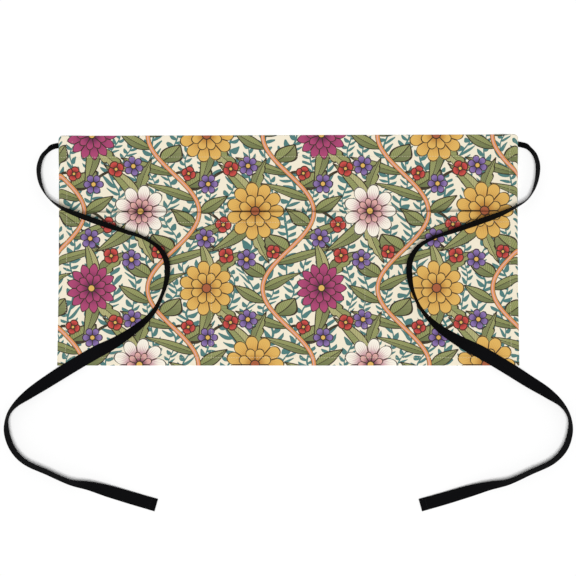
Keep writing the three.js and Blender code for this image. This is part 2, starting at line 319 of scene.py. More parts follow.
def lift(x, y):
    """Height of the under side: bottom hem lifts fade inwards, tucks are swellings at the two sides."""
    reach = smooth(1 - (y - BOTTOM) / HEM_LIFT_REACH)
    waves = sum(high * smooth(1 - np.abs(x - at) / half) for at, half, high in HEM_LIFTS)
    inwards = np.maximum(0, SIDE - np.abs(x) - TUCK_LENGTH)
    beside = np.maximum(0, np.abs(y - TUCK_MIDDLE) - TUCK_HALF)
    return waves * reach + TUCK_RISE * smooth(1 - inwards / TUCK_FADE) * smooth(1 - beside / TUCK_FADE)


print(f"the waist swells by {lift(SIDE, TUCK_MIDDLE) * 1000:.1f} mm over a tucked tie")

# %% Pockets and puckers
POCKET_INSET, GAPE = 0.0015, 0.014
PUCKER, PUCKER_PITCH, PUCKER_REACH = 0.00016, 0.0093, 0.005


def gape(x, y):
    """How far a pocket stands open: a sine arch from seam to seam, growing from bottom to mouth."""
    across = np.sin(math.pi * (((x + SIDE) / POCKET_WIDTH) % 1))
    up = np.clip((y - BOTTOM - POCKET_INSET) / (POCKET_DEPTH - POCKET_INSET), 0, 1)
    return GAPE * across * np.sin(math.pi / 2 * up)


def pucker(distance, along):
    """Waves that a row of stitches draws up: a sine along the row under a bell curve across it."""
    return PUCKER * np.exp(-(distance / PUCKER_REACH) ** 2) * np.sin(2 * math.pi * along / PUCKER_PITCH)


print(f"pocket mouths stand open by {gape(0, MOUTH) * 1000:.0f} mm")

# %% Both sides of both cloths
CLOTH, GAP = 0.001, 0.0003


def panel_back(x, y):
    """Under side of the panel: the hems lie on the table and hold the single cloth just off it."""
    return lift(x, y) + HEM_STEP * (1 - hemmed(x, y))


def panel_face(x, y):
    """Upper side of the panel, higher on the hems by the layers turned under."""
    return lift(x, y) + CLOTH + HEM_RISE * hemmed(x, y)


def pocket_back(x, y):
    """Under side of the pocket cloth, a hair above the panel where no pocket opens."""
    return panel_face(x, y) + GAP + gape(x, y)


def pocket_face(x, y):
    """Upper side of the pocket cloth with its mouth hem and the puckers beside its seams."""
    seam = ((x + SIDE) / POCKET_WIDTH + 0.5) % 1 - 0.5
    divisions = pucker(seam * POCKET_WIDTH, y)
    mouth = pucker(MOUTH - MOUTH_HEM - y, x)
    return pocket_back(x, y) + CLOTH + HEM_RISE * hem_share(MOUTH - y, MOUTH_HEM) + divisions + mouth


print(f"top of a pocket mouth {pocket_face(0, MOUTH) * 1000:.1f} mm above the table")

# %% [markdown]
# ## The outline
# The sewn panel isn't a true rectangle: its sides flare and are pulled in by their hems, and its waist
# edge is rounded at the corners. A lattice could warp a plain rectangle. One function of the outline
# does the same, and the stitches can use it too, so that they stay on the cloth.

# %% Outline
FLARE, SIDE_PULL, WAIST_FALL, CORNER = 0.002, 0.0012, 0.002, 0.0055


def drawn(x, y, z):
    """Points of the rectangle drawn in to the panel's outline: x shrinks with the half width, which is
    the flared side less a sine between its ends; y falls, more the higher it lies, by the slant of the
    waist edge and the quarter circle of its corners."""
    up = np.clip((y - BOTTOM) / HEIGHT, 0, 1)
    half = SIDE - FLARE * up - SIDE_PULL * np.sin(math.pi * up)
    into = np.maximum(0, np.abs(x) - (SIDE - CORNER))
    rounding = CORNER - np.sqrt(np.maximum(0, CORNER**2 - into**2))
    drop = WAIST_FALL * (SIDE - x) / WIDTH + rounding
    return np.stack([x * half / SIDE, y - up * drop, z], axis=-1)


print(f"waist edge {2 * drawn(SIDE, TOP, 0)[0] * 1000:.0f} mm wide, bottom edge {WIDTH * 1000:.0f} mm")

# %% [markdown]
# ## The two cloths
# The panel and the pocket cloth are walls between two heights. An even grid would blur the hems or
# need far too many points. So grid lines lie close together at edges and hem steps and further apart
# between. The folded edge is rounded: near the outline the wall thins like the end of an ellipse.

# %% Grid lines
EDGE_LINES = np.array([0, 0.00008, 0.00025, 0.0005, 0.0009, 0.0017, 0.0028, 0.0040])
GRID_STEP, RAMP_LINES = 0.0025, 4


def grid_lines(low, high, hems):
    """Grid lines from low to high, dense at both edges and over each hem's ramp (start of the ramp)."""
    inner = np.linspace(low, high, round((high - low) / GRID_STEP) + 1)[2:-2]
    ramps = [start + np.linspace(0, HEM_RAMP, RAMP_LINES) for start in hems]
    return np.unique(np.round(np.concatenate([low + EDGE_LINES, high - EDGE_LINES, inner, *ramps]), 6))


side_ramps = [-SIDE + HEM_WIDTH, SIDE - HEM_WIDTH - HEM_RAMP]
panel_x = grid_lines(-SIDE, SIDE, side_ramps)
panel_y = grid_lines(BOTTOM, TOP, [BOTTOM + HEM_WIDTH, TOP - WAIST_HEM - HEM_RAMP])
pocket_x = grid_lines(-SIDE + POCKET_INSET, SIDE - POCKET_INSET, side_ramps)
pocket_y = grid_lines(
    BOTTOM + POCKET_INSET, MOUTH, [BOTTOM + HEM_WIDTH, MOUTH - MOUTH_HEM - HEM_RAMP])
print(f"grids: panel {len(panel_x)} x {len(panel_y)}, pockets {len(pocket_x)} x {len(pocket_y)} lines")

# %% Panel and pocket cloth
EDGE_ROUND, RIM_SHARE = 0.0009, 0.02


def cloth(name, xs, ys, under_at, upper_at):
    """A thin solid between two heights over the grid xs by ys; within the rounded edge its thickness is
    that of a quarter ellipse, kept just open at the rim."""
    x, y = np.meshgrid(xs, ys, indexing="ij")
    low, high = under_at(x, y), upper_at(x, y)
    edge = np.minimum(np.minimum(x - xs[0], xs[-1] - x), np.minimum(y - ys[0], ys[-1] - y))
    keep = np.sqrt(1 - (1 - np.clip(edge / EDGE_ROUND, RIM_SHARE, 1)) ** 2)
    middle, half = (low + high) / 2, (high - low) / 2
    under, upper = drawn(x, y, middle - half * keep), drawn(x, y, middle + half * keep)
    turned = hemmed((x[1:, 1:] + x[:-1, :-1]) / 2, (y[1:, 1:] + y[:-1, :-1]) / 2) > 0.5
    return wall(name, under, upper, np.stack([x, y], axis=-1) * 1000, turned)


panel = cloth("printed_body_panel", panel_x, panel_y, panel_back, panel_face)
pocket = cloth("printed_pocket_panel", pocket_x, pocket_y, pocket_back, pocket_face)

# %% [markdown]
# ## Stitching
# Rows of lockstitch hold the hems and divide the pockets, short dense bars reinforce the pocket corners
# and the tucked ties, and one row crosses each tie's free end. Bump in the material could hint at them,
# but thread stands up and catches the light. So a stitch is a spindle of thread that rises out of the
# cloth and dips back into it. Every row runs straight along the grid: a line of a table gives where it
# starts, where it ends and how long its stitches are.

# %% One row of stitches
THREAD, STITCH_GAP = 0.00028, 0.0007
THREAD_RISE, THREAD_SINK = 0.6, 0.3
STITCH_RINGS, STITCH_SIDES = 3, 6


def stitch_points(start, end, length, height_at):
    """Corner points of every stitch in a row: along a stitch the thread swells as a half sine and
    rises with it, so that both ends are down in the cloth."""
    start, end = np.array(start), np.array(end)
    span = np.linalg.norm(end - start)
    count = int(span / (length + STITCH_GAP))
    ahead = (end - start) / span
    aside = np.array([-ahead[1], ahead[0]])
    first = (np.arange(count) + 0.5) * span / count - length / 2
    a = np.linspace(0, 1, STITCH_RINGS + 2)
    phi = np.linspace(0, 2 * math.pi, STITCH_SIDES, endpoint=False)
    swell = THREAD * np.sin(math.pi * a)
    run = first[:, None, None] + (a * length)[None, :, None] + 0 * phi
    out = np.cos(phi)[None, None] * swell[None, :, None] + 0 * run
    xy = start + run[..., None] * ahead + out[..., None] * aside
    x, y = xy[..., 0], xy[..., 1]
    rise = (np.sin(phi)[None, None] + THREAD_RISE) * swell[None, :, None]
    points = drawn(x, y, height_at(x, y) + rise - THREAD_SINK * THREAD)
    inner = points[:, 1:-1].reshape(count, -1, 3)
    return np.concatenate([points[:, :1, 0], inner, points[:, -1:, 0]], axis=1)

# %% All the stitches of one piece
def stitching(name, rows, height_at):
    """The stitches of all rows as one mesh: spindles of rings, with a point at each end."""
    points = np.concatenate([stitch_points(*row, height_at) for row in rows])
    per = points.shape[1]
    ring = np.arange(STITCH_SIDES)
    ahead = (ring + 1) % STITCH_SIDES
    last = 1 + (STITCH_RINGS - 1) * STITCH_SIDES
    tips = np.vstack([
        np.stack([0 * ring, 1 + ahead, 1 + ring], axis=1),
        np.stack([0 * ring + per - 1, last + ring, last + ahead], axis=1),
    ])
    near = 1 + STITCH_SIDES * np.arange(STITCH_RINGS - 1)[:, None]
    far = near + STITCH_SIDES
    sides = np.stack([near + ring, near + ahead, far + ahead, far + ring], axis=-1).reshape(-1, 4)
    offsets = per * np.arange(len(points))[:, None, None]
    faces = (offsets + tips).reshape(-1, 3).tolist() + (offsets + sides).reshape(-1, 4).tolist()
    mesh = bpy.data.meshes.new(name)
    mesh.from_pydata(points.reshape(-1, 3).tolist(), [], faces)
    mesh.polygons.foreach_set("use_smooth", np.ones(len(faces), dtype=bool))
    piece = bpy.data.objects.new(name, mesh)
    bpy.context.scene.collection.objects.link(piece)
    print(f"{name}: {len(points)} stitches")
    return piece

# %% Stitches of the cloths
STITCH, BAR_STITCH, BAR_LENGTH = 0.0027, 0.0011, 0.013
# how far rows lie from the hem's edge that they follow, and how far their ends stay from an edge
HEM_ROW, WAIST_ROW, MOUTH_ROW = 0.0105, 0.0285, 0.0135
FROM_EDGE, FROM_MOUTH = 0.002, 0.001
# bars over a tucked tie, from the panel's side, and at the top of a division, to either side of it
TACK_BARS, TWIN_BARS = (0.004, 0.018), (-0.0012, 0.0012)
DIVISION = POCKET_WIDTH / 2
SIDE_ROW, BOTTOM_ROW, MOUTH_END = SIDE - HEM_ROW, BOTTOM + HEM_ROW, MOUTH - FROM_MOUTH

panel_rows = [((-SIDE + FROM_EDGE, TOP - WAIST_ROW), (SIDE - FROM_EDGE, TOP - WAIST_ROW), STITCH)]
pocket_rows = [
    ((-SIDE_ROW, BOTTOM_ROW), (SIDE_ROW, BOTTOM_ROW), STITCH),
    ((-SIDE_ROW, MOUTH - MOUTH_ROW), (SIDE_ROW, MOUTH - MOUTH_ROW), STITCH),
]
for sign in (-1, 1):
    side_x, division_x = sign * SIDE_ROW, sign * DIVISION
    panel_rows.append(((side_x, MOUTH + FROM_MOUTH), (side_x, TOP - FROM_EDGE), STITCH))
    for inwards in TACK_BARS:
        x, half = sign * (SIDE - inwards), BAR_LENGTH / 2
        panel_rows.append(((x, TUCK_MIDDLE - half), (x, TUCK_MIDDLE + half), BAR_STITCH))
    pocket_rows.append(((side_x, BOTTOM_ROW), (side_x, MOUTH_END), STITCH))
    pocket_rows.append(((division_x, BOTTOM_ROW), (division_x, MOUTH_END), STITCH))
    for x in (*(division_x + aside for aside in TWIN_BARS), side_x):
        pocket_rows.append(((x, MOUTH - BAR_LENGTH), (x, MOUTH_END), BAR_STITCH))
panel_stitches = stitching("panel_topstitching", panel_rows, panel_face)
pocket_stitches = stitching("pocket_topstitching", pocket_rows, pocket_face)

# %% Stitches at the ties' free ends
def seam_height(start, end):
    """Height above a straight seam between two points in space, by the share of the way along it."""
    ahead = (end - start)[:2]

    def height_at(x, y):
        """The start's height plus that share of the rise to the end."""
        share = ((x - start[0]) * ahead[0] + (y - start[1]) * ahead[1]) / (ahead @ ahead)
        return start[2] + share * (end[2] - start[2])

    return height_at


tie_stitches = {
    name: stitching(f"{name}_end_stitching", [(*seam[:, :2], STITCH)], seam_height(*seam))
    for name, (_, _, _, seam) in ties.items()
}

# %% [markdown]
# ## Materials: one helper
# A material is a tree of nodes. It could be wired by hand in the Shader Editor, but a script shows
# every setting. `add` puts one node in a tree, sets it up and joins its inputs. An input is a number,
# a colour or the node that feeds it. Colours are written as sRGB hex codes, as on a paint chart.

# %% Helper
def rgb(code):
    """Linear colour of an sRGB hex code: a straight line near black, a power of 2.4 above it."""
    s = np.array([int(code[i:i + 2], 16) for i in (1, 3, 5)]) / 255
    return (*np.where(s <= 0.04045, s / 12.92, ((s + 0.055) / 1.055) ** 2.4), 1.0)


def add(tree, kind, *inputs, **settings):
    """A shader node of that kind with its settings; inputs are values, sockets or nodes, in order or
    by name."""
    node = tree.nodes.new(kind if kind.startswith("NodeGroup") else "ShaderNode" + kind)
    names = settings.pop("inputs", {})
    for key, value in settings.items():
        setattr(node, key, value)
    for key, value in [*enumerate(inputs), *names.items()]:
        source = value.outputs[0] if isinstance(value, bpy.types.Node) else value
        if isinstance(source, bpy.types.NodeSocket):
            tree.links.new(source, node.inputs[key])
        else:
            node.inputs[key].default_value = source
    return node


def surface(name, finish):
    """A material whose shader gets what finish(tree) returns: base colour, roughness and so on."""
    material = bpy.data.materials.new(name)
    material.use_nodes = True
    tree = material.node_tree
    tree.nodes.clear()
    shader = add(tree, "BsdfPrincipled", inputs=finish(tree))
    add(tree, "OutputMaterial", shader)
    print("material:", name)
    return material

# %% [markdown]
# ## The print
# The cloth is printed all over with a trailing-vine floral on cream: fine teal foliage behind, winding
# stems with leaves to both sides, large blossoms in the bends of the stems and sprays of small ones
# between. One repeat is a quarter of the panel wide and two thirds of it high, and the large blossoms
# change colour from one column to the next. A picture wrapped on the cloth would be simpler, but it
# blurs close up. Formulas stay sharp. Four node groups do the drawing: a point's place in the repeat,
# a leaf, a stem with leaves, and a blossom. Each draws over the colour below it, as inks do.

# %% Inks
INK = {name: rgb(code) for name, code in {
    "ground": "#f1e8d2", "line": "#3a3125", "olive": "#8d955c", "moss": "#6c774b", "lime": "#b5b27c",
    "teal": "#4d7a78", "mist": "#779a93", "mustard": "#dfb25e", "honey": "#b67c34", "red": "#c94e47",
    "brick": "#8f2e2e", "magenta": "#ad4873", "plum": "#6b2a50", "violet": "#8a71aa", "grape": "#574379",
    "cream": "#f6f0e2", "rose": "#dfaaa4", "orange": "#dd9558", "rust": "#a85d3d",
}.items()}
print(len(INK), "inks:", ", ".join(INK))

# %% [markdown]
# ### The repeat
# A printed cloth shows one design over and over. Copies of every motif could be drawn side by side, but
# it is enough to ask of each point where it lies relative to the nearest copy, in millimetres. The group
# also tells whether that copy's column is odd, so that blossoms can change from column to column.

# %% Repeat
REPEAT_X, REPEAT_Y = 152.5, 203.4
# a dot product with an axis reads one coordinate, and takes less of the shader's room than splitting all
AXES = ((1, 0, 0), (0, 1, 0))


def new_group(name, inputs, outputs):
    """An empty node group with those sockets; returns it and the sockets that bring its inputs in."""
    tree = bpy.data.node_groups.new(name, "ShaderNodeTree")
    for way, sockets in (("INPUT", inputs), ("OUTPUT", outputs)):
        for label, kind in sockets.items():
            tree.interface.new_socket(label, in_out=way, socket_type="NodeSocket" + kind)
    return tree, tree.nodes.new("NodeGroupInput").outputs


REPEAT, given = new_group(
    "straight repeat",
    {"Point": "Vector", "Centre": "Vector"},
    {"Local": "Vector", "Odd": "Float"})
away = add(REPEAT, "VectorMath", given["Point"], given["Centre"], operation="SUBTRACT")
x, y = (add(REPEAT, "VectorMath", away, axis, operation="DOT_PRODUCT").outputs["Value"] for axis in AXES)
column = add(REPEAT, "Math", x, REPEAT_X, operation="DIVIDE")
column = add(REPEAT, "Math", column, operation="ROUND")
local_x = add(REPEAT, "Math", column, -REPEAT_X, x, operation="MULTIPLY_ADD")
local_y = add(REPEAT, "Math", y, REPEAT_Y / 2, -REPEAT_Y / 2, operation="WRAP")
odd = add(REPEAT, "Math", column, 2.0, operation="FLOORED_MODULO")
local = add(REPEAT, "CombineXYZ", local_x, local_y)
add(REPEAT, "NodeGroupOutput", local, odd)
print(f"repeat of {REPEAT_X} x {REPEAT_Y} mm")

# %% [markdown]
# ### A leaf
# A leaf's half width is a sine from base to tip, skewed so that it is fullest nearer the base. A
# second sine bites lobes out of the edge. Whatever is nearer to the middle line than that half width is
# leaf: two tones, a rib, slanting veins and a dark outline. A traced outline would fix one leaf for all;
# this one takes any length, width and bend.

# %% Leaf shape: its base at the origin and its tip along +X
LEAF_SKEW, VEIN_SLANT = 0.8, 1.3
# half the width of an outline and of the soft edge of the ink, in mm
LINE, SOFT = 0.7, 0.3
# an eased step is limited by itself, so no clamp is asked for, which would take up room in the shader
EASED = {"interpolation_type": "SMOOTHSTEP", "clamp": False}
LEAF, given = new_group(
    "leaf",
    {"Under": "Color", "Local": "Vector", "Along": "Vector", "Across": "Vector", "Length": "Float",
     "Width": "Float", "Bend": "Float", "Lobes": "Float", "Notch": "Float", "Light": "Color",
     "Dark": "Color", "Rib": "Color", "Outline": "Color"},
    {"Color": "Color"})
x, y = (add(LEAF, "VectorMath", given["Local"], given[axis], operation="DOT_PRODUCT").outputs["Value"]
        for axis in ("Along", "Across"))
share = add(LEAF, "Math", x, given["Length"], operation="DIVIDE")
share = add(LEAF, "Clamp", share)
swell = add(LEAF, "Math", share, LEAF_SKEW, operation="POWER")
swell = add(LEAF, "Math", swell, math.pi, operation="MULTIPLY")
swell = add(LEAF, "Math", swell, operation="SINE")
bow = add(LEAF, "Math", swell, given["Bend"], operation="MULTIPLY")
off = add(LEAF, "Math", y, bow, operation="SUBTRACT")
side = add(LEAF, "Math", off, operation="ABSOLUTE")
slant = add(LEAF, "Math", side, -VEIN_SLANT, x, operation="MULTIPLY_ADD")
lobe = add(LEAF, "Math", slant, given["Length"], operation="DIVIDE")
lobe = add(LEAF, "Math", lobe, given["Lobes"], operation="MULTIPLY")
lobe = add(LEAF, "Math", lobe, math.pi, operation="MULTIPLY")
lobe = add(LEAF, "Math", lobe, operation="SINE")
lobe = add(LEAF, "Math", lobe, operation="ABSOLUTE")
lobe = add(LEAF, "Math", lobe, 1.0, operation="SUBTRACT")
full = add(LEAF, "Math", lobe, given["Notch"], 1.0, operation="MULTIPLY_ADD")
half = add(LEAF, "Math", swell, given["Width"], operation="MULTIPLY")
half = add(LEAF, "Math", half, 2.0, operation="DIVIDE")
half = add(LEAF, "Math", half, full, operation="MULTIPLY")
beyond = add(LEAF, "Math", side, half, operation="SUBTRACT")
middle = add(LEAF, "Math", given["Length"], 2.0, operation="DIVIDE")
within = add(LEAF, "Math", x, middle, middle, operation="COMPARE")
blade = add(LEAF, "MapRange", beyond, SOFT, -SOFT, **EASED)
blade = add(LEAF, "Math", blade, within, operation="MULTIPLY")
print("leaf shape:", len(LEAF.nodes), "nodes")

# %% Leaf tones
# half the width of a vein and the distance between veins, in mm
VEIN, VEIN_SPACING = 0.4, 3.4
TIP_TINT, VEIN_TINT = 0.45, 0.5
upper_half = add(LEAF, "Math", off, 0.0, operation="GREATER_THAN")
tone = add(LEAF, "MixRGB", upper_half, given["Light"], given["Dark"])
tip = add(LEAF, "Math", share, TIP_TINT, operation="MULTIPLY")
tone = add(LEAF, "MixRGB", tip, tone, given["Rib"])
veins = add(LEAF, "Math", slant, VEIN_SPACING / 2, operation="PINGPONG")
veins = add(LEAF, "Math", veins, VEIN, operation="LESS_THAN")
veins = add(LEAF, "Math", veins, VEIN_TINT, operation="MULTIPLY")
tone = add(LEAF, "MixRGB", veins, tone, given["Outline"])
rib = add(LEAF, "Math", side, VEIN, operation="LESS_THAN")
tone = add(LEAF, "MixRGB", rib, tone, given["Outline"])
inked = add(LEAF, "MixRGB", blade, given["Under"], tone)
rim = add(LEAF, "Math", beyond, 0.0, LINE, operation="COMPARE")
rim = add(LEAF, "Math", rim, within, operation="MULTIPLY")
inked = add(LEAF, "MixRGB", rim, inked, given["Outline"])
add(LEAF, "NodeGroupOutput", inked)
print("leaf:", len(LEAF.nodes), "nodes")

# %% [markdown]
# ### A winding stem
# A stem is a sine wave up the cloth, and columns of it stand side by side. The distance across the stem
# is the distance sideways divided by the wave's steepness, so that the stem is equally thick all along.
# Leaves follow one another along it, and those of one side stand between those of the other. They could
# be placed one by one, but wrapping the distance along the stem repeats a single leaf for ever.

# %% Stem line
STEM, given = new_group(
    "winding stem",
    {"Under": "Color", "Point": "Vector", "Spacing": "Float", "Wave": "Float", "Sway": "Float",
     "Pitch": "Float", "Along": "Vector", "Across": "Vector", "Length": "Float", "Width": "Float",
     "Set Back": "Float", "Half": "Float", "Light": "Color", "Dark": "Color", "Rib": "Color",
     "Outline": "Color", "Bark": "Color", "Gleam": "Color"},
    {"Color": "Color"})
x, y = (add(STEM, "VectorMath", given["Point"], axis, operation="DOT_PRODUCT").outputs["Value"]
        for axis in AXES)
column = add(STEM, "Math", x, given["Spacing"], operation="DIVIDE")
column = add(STEM, "Math", column, operation="ROUND")
column = add(STEM, "Math", column, given["Spacing"], operation="MULTIPLY")
x = add(STEM, "Math", x, column, operation="SUBTRACT")
swing = add(STEM, "Math", y, given["Wave"], operation="DIVIDE")
swing = add(STEM, "Math", swing, math.tau, operation="MULTIPLY")
bow = add(STEM, "Math", swing, operation="SINE")
bow = add(STEM, "Math", bow, given["Sway"], operation="MULTIPLY")
slope = add(STEM, "Math", swing, operation="COSINE")
slope = add(STEM, "Math", slope, given["Sway"], operation="MULTIPLY")
slope = add(STEM, "Math", slope, math.tau, operation="MULTIPLY")
slope = add(STEM, "Math", slope, given["Wave"], operation="DIVIDE")
steep = add(STEM, "Math", slope, slope, 1.0, operation="MULTIPLY_ADD")
steep = add(STEM, "Math", steep, operation="SQRT")
across = add(STEM, "Math", x, bow, operation="SUBTRACT")
across = add(STEM, "Math", across, steep, operation="DIVIDE")
apart = add(STEM, "Math", across, operation="ABSOLUTE")
print("stem line:", len(STEM.nodes), "nodes")

# %% Stem leaves and bark
# shift of the leaves in pitches, one way on each side; bend of a leaf and place of the gleam, in mm
STAGGER, STEM_LEAF_BEND, GLEAM_AT = 0.25, 1.0, -0.3
stagger = add(STEM, "Math", across, operation="SIGN")
stagger = add(STEM, "Math", stagger, STAGGER, operation="MULTIPLY")
along = add(STEM, "Math", y, given["Pitch"], operation="DIVIDE")
along = add(STEM, "Math", along, stagger, operation="ADD")
along = add(STEM, "Math", along, 0.5, -0.5, operation="WRAP")
along = add(STEM, "Math", along, given["Pitch"], given["Set Back"], operation="MULTIPLY_ADD")
local = add(STEM, "CombineXYZ", along, apart)
passed_on = ("Along", "Across", "Length", "Width", "Light", "Dark", "Rib", "Outline")
leafy = add(STEM, "Group", given["Under"], local, node_tree=LEAF, inputs={
    "Bend": STEM_LEAF_BEND, "Lobes": 0.0, "Notch": 0.0, **{label: given[label] for label in passed_on}})
gleam = add(STEM, "Math", across, GLEAM_AT, LINE, operation="COMPARE")
bark = add(STEM, "MixRGB", gleam, given["Bark"], given["Gleam"])
outside = add(STEM, "Math", apart, given["Half"], operation="GREATER_THAN")
bark = add(STEM, "MixRGB", outside, bark, given["Outline"])
reach = add(STEM, "Math", given["Half"], LINE, operation="ADD")
stem = add(STEM, "Math", apart, reach, operation="LESS_THAN")
inked = add(STEM, "MixRGB", stem, leafy, bark)
add(STEM, "NodeGroupOutput", inked)
print("stem:", len(STEM.nodes), "nodes")

# %% [markdown]
# ### A blossom
# A blossom is a circle whose radius dips between the petals. Petals could be drawn one by one, as leaves
# are, but folding the angle back and forth, once for each petal, draws them all at once. From the middle
# out come an eye, a darker tone, fine hatching, a lighter tone and a dark outline.

# %% Blossom petals
BLOSSOM, given = new_group(
    "blossom",
    {"Under": "Color", "Local": "Vector", "Radius": "Float", "Petals": "Float", "Notch": "Float",
     "Round": "Float", "Turn": "Float", "Inner": "Color", "Outer": "Color", "Outline": "Color",
     "Eye": "Float", "Eye Color": "Color", "Shown": "Float"},
    {"Color": "Color"})
x, y = (add(BLOSSOM, "VectorMath", given["Local"], axis, operation="DOT_PRODUCT").outputs["Value"]
        for axis in AXES)
r = add(BLOSSOM, "VectorMath", given["Local"], operation="LENGTH").outputs["Value"]
wound = add(BLOSSOM, "Math", y, x, operation="ARCTAN2")
wound = add(BLOSSOM, "Math", wound, math.tau, operation="DIVIDE")
wound = add(BLOSSOM, "Math", wound, given["Petals"], given["Turn"], operation="MULTIPLY_ADD")
fold = add(BLOSSOM, "Math", wound, 0.5, operation="PINGPONG")
dip = add(BLOSSOM, "Math", fold, 2.0, operation="MULTIPLY")
dip = add(BLOSSOM, "Math", dip, given["Round"], operation="POWER")
dip = add(BLOSSOM, "Math", dip, given["Notch"], operation="MULTIPLY")
dip = add(BLOSSOM, "Math", dip, given["Radius"], operation="MULTIPLY")
edge = add(BLOSSOM, "Math", given["Radius"], dip, operation="SUBTRACT")
beyond = add(BLOSSOM, "Math", r, edge, operation="SUBTRACT")
print("blossom petals:", len(BLOSSOM.nodes), "nodes")

# %% Blossom tones
# shares of the radius between which the tone changes, and between which the hatching fades
TONE_FROM, TONE_TO = 0.2, 0.75
HATCH_END, HATCH_FULL = 0.95, 0.45
HATCH_LINES, HATCH_WIDTH, HATCH_TINT = 7.0, 0.16, 0.75
share = add(BLOSSOM, "Math", r, given["Radius"], operation="DIVIDE")
outer = add(BLOSSOM, "MapRange", share, TONE_FROM, TONE_TO, **EASED)
tone = add(BLOSSOM, "MixRGB", outer, given["Inner"], given["Outer"])
hatch = add(BLOSSOM, "Math", wound, HATCH_LINES, operation="MULTIPLY")
hatch = add(BLOSSOM, "Math", hatch, 0.5, operation="PINGPONG")
hatch = add(BLOSSOM, "Math", hatch, HATCH_WIDTH, operation="LESS_THAN")
fade = add(BLOSSOM, "MapRange", share, HATCH_END, HATCH_FULL, 0.0, HATCH_TINT, **EASED)
hatch = add(BLOSSOM, "Math", hatch, fade, operation="MULTIPLY")
tone = add(BLOSSOM, "MixRGB", hatch, tone, given["Inner"])
cleft = add(BLOSSOM, "Math", 0.5, fold, operation="SUBTRACT")
cleft = add(BLOSSOM, "Math", cleft, r, operation="MULTIPLY")
cleft = add(BLOSSOM, "Math", cleft, given["Petals"], operation="DIVIDE")
cleft = add(BLOSSOM, "Math", cleft, LINE / math.tau, operation="LESS_THAN")
tone = add(BLOSSOM, "MixRGB", cleft, tone, given["Outline"])
eye = add(BLOSSOM, "Math", r, given["Eye"], operation="LESS_THAN")
tone = add(BLOSSOM, "MixRGB", eye, tone, given["Eye Color"])
eye_line = add(BLOSSOM, "Math", r, given["Eye"], LINE, operation="COMPARE")
tone = add(BLOSSOM, "MixRGB", eye_line, tone, given["Outline"])
outline = add(BLOSSOM, "Math", beyond, 0.0, LINE, operation="COMPARE")
tone = add(BLOSSOM, "MixRGB", outline, tone, given["Outline"])
body = add(BLOSSOM, "MapRange", beyond, LINE + SOFT, LINE, **EASED)
body = add(BLOSSOM, "Math", body, given["Shown"], operation="MULTIPLY")
inked = add(BLOSSOM, "MixRGB", body, given["Under"], tone)
add(BLOSSOM, "NodeGroupOutput", inked)
print("blossom:", len(BLOSSOM.nodes), "nodes")

# %% [markdown]
# ### The layout of one repeat
# Here the motifs are laid out one by one, as a textile designer does: the tables give places and sizes in
# millimetres, turns in degrees for leaves and in petals for blossoms. Scattering them at random would
# leave gaps and clumps.

# %% Stems
VINE_LEAVES = 6
FOLIAGE_TURN, VINE_TURN = 53, 60
FOLIAGE = {"Spacing": 26.0, "Wave": 67.8, "Sway": 4.5, "Pitch": 10.2, "Length": 12.5, "Width": 3.4,
           "Set Back": 3.4, "Half": 0.3}
FOLIAGE_INKS = {"Light": "teal", "Dark": "teal", "Rib": "mist", "Outline": "teal", "Bark": "teal",
                "Gleam": "teal"}
VINE = {"Spacing": REPEAT_X, "Wave": REPEAT_Y, "Sway": 34.0, "Pitch": REPEAT_Y / VINE_LEAVES,
        "Length": 44.0, "Width": 15.0, "Set Back": 9.0, "Half": 2.5}
VINE_INKS = {"Light": "olive", "Dark": "moss", "Rib": "lime", "Outline": "line", "Bark": "orange",
             "Gleam": "rose"}
print(f"vines {2 * VINE['Half']:.0f} mm thick, {VINE['Spacing']} mm apart")

# %% Stalks and leaves
STALK_WIDTH = 2.4
# x, y, turn, length, bend
STALKS = [
    (28, 32, -43, 58, -4),
    (70, -7, -10, 28, 3),
    (34, 52, -28, 36, 4),
    (19, 82, 13, 28, -3),
    (46, 88, 34, 36, 4),
    (76, 108, 10, 23, -3),
    (0, 101, 3, 20, 2),
    (0, 0, 186, 20, 2),
]
# x, y, turn, length, width, bend, lobes, notch, light ink, dark ink
LEAVES = [
    (-44, 52, 78, 72, 19, 7, 5, 0.3, "olive", "moss"),
    (-44, 52, 128, 80, 17, -8, 0, 0.0, "lime", "olive"),
    (-44, 52, 222, 80, 18, 8, 0, 0.0, "olive", "moss"),
    (-44, 52, 285, 72, 18, -7, 5, 0.3, "lime", "olive"),
    (44, -50, 42, 76, 19, 8, 5, 0.3, "olive", "moss"),
    (44, -50, 98, 66, 16, -6, 0, 0.0, "lime", "olive"),
    (44, -50, 262, 68, 18, 6, 0, 0.0, "olive", "moss"),
    (44, -50, 318, 78, 18, -8, 5, 0.3, "lime", "olive"),
]
print(len(STALKS), "stalks and", len(LEAVES), "large leaves")

# %% Blossoms
# which columns show a blossom: the first number times 0 for an even or 1 for an odd one, plus the second
ALL, ODD, EVEN = (0.0, 1.0), (1.0, 0.0), (-1.0, 1.0)
